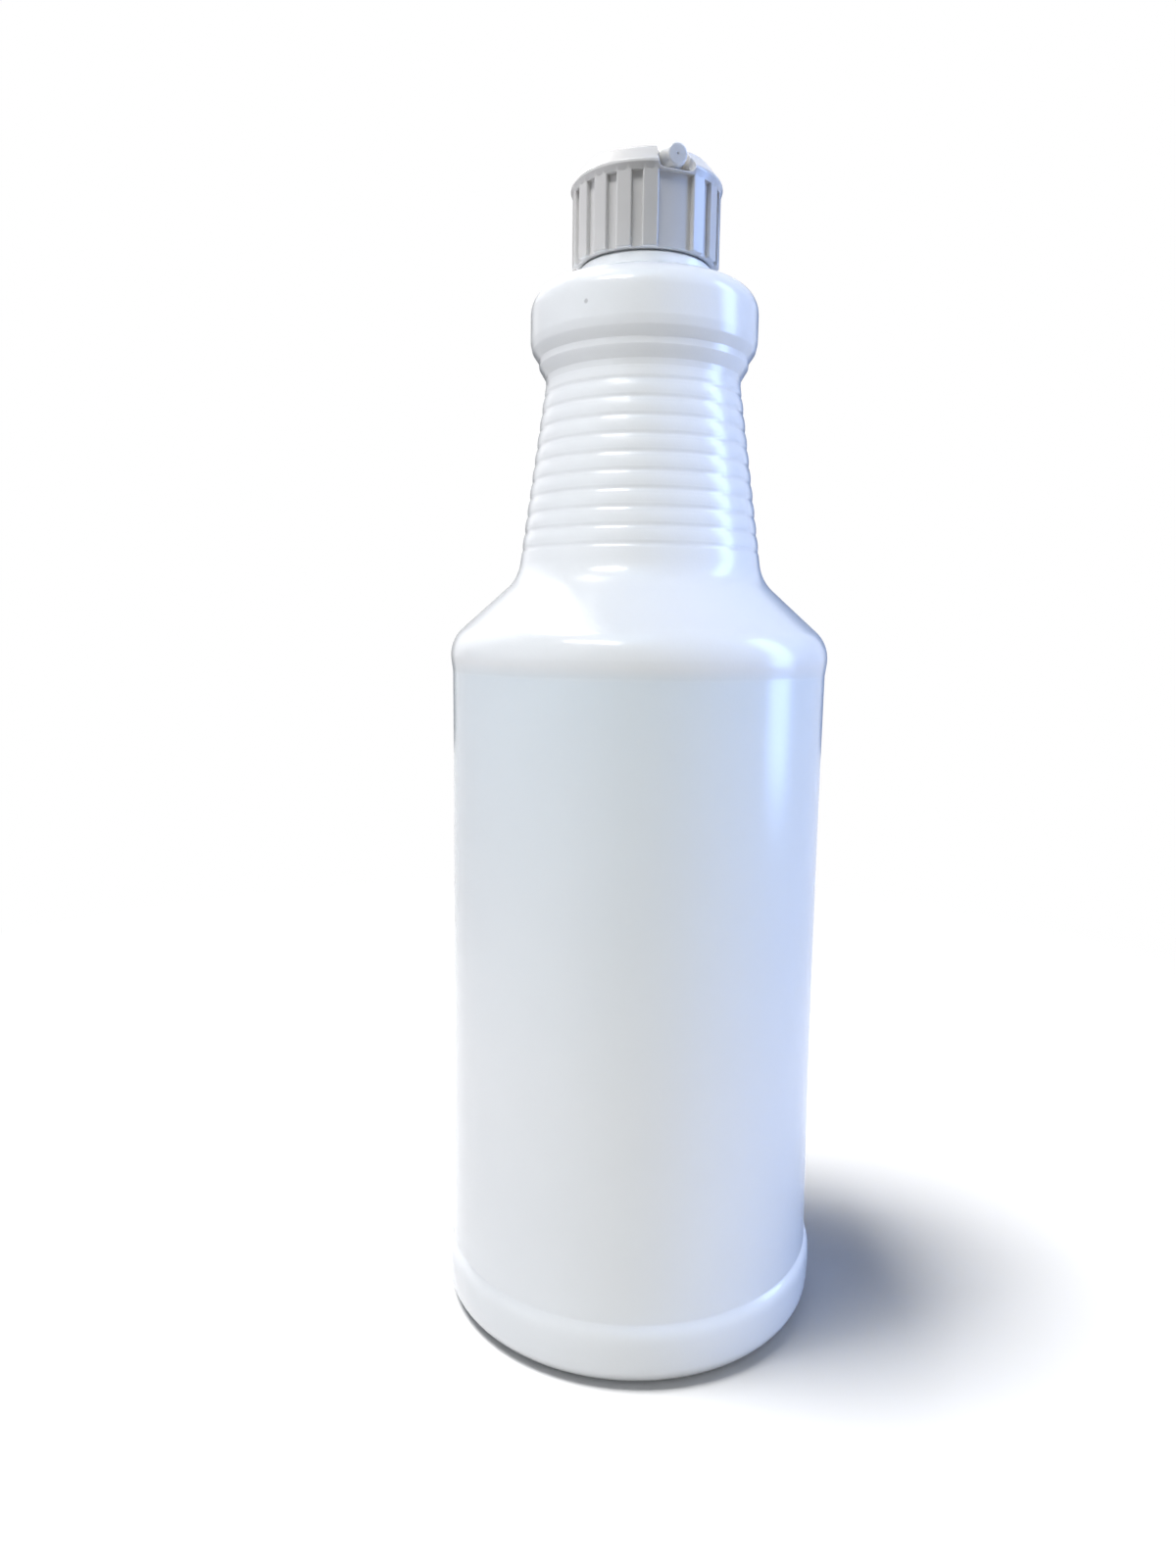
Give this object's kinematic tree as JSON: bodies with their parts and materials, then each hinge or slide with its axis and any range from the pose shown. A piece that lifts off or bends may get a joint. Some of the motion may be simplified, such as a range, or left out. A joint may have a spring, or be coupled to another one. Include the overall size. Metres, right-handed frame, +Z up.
{
  "type": "spotting bottle",
  "caption": "Ringed-neck squeeze bottle with a ribbed screw cap and a flip-up pouring spout.",
  "frame": {"origin": "middle of the bottle's foot, on the surface it stands on", "axes": "+Z up along the bottle's axis; the folded spout points along -Y"},
  "size_m": [0.0885, 0.0886, 0.259],
  "materials": {
    "bottle_plastic": "satin, translucent",
    "cap_plastic": "satin",
    "spout_plastic": "satin",
    "seal_foam": "matte"
  },
  "bodies": {
    "bottle": {"bottle": "bottle_plastic"},
    "liner": {"liner": "seal_foam"},
    "cap": {"cap": "cap_plastic"},
    "spout": {"spout": "spout_plastic"}
  },
  "joints": [
    {"name": "cap_lift", "type": "slide", "parent": "bottle", "child": "liner", "axis": [0, 0, 1], "range_m": [0, 0.01693]},
    {"name": "cap_turn", "type": "hinge", "parent": "liner", "child": "cap", "pos_m": [0, 0, 0.25021], "axis": [0, 0, 1], "range_deg": [0, 1440]},
    {"name": "spout_flip", "type": "hinge", "parent": "cap", "child": "spout", "pos_m": [0, 0, 0.25521], "axis": [-1, 0, 0], "range_deg": [0, 96]}
  ],
  "couplings": [
    {"joint": "cap_lift", "follows": "cap_turn", "m_per_rad": 0.0006737}
  ]
}
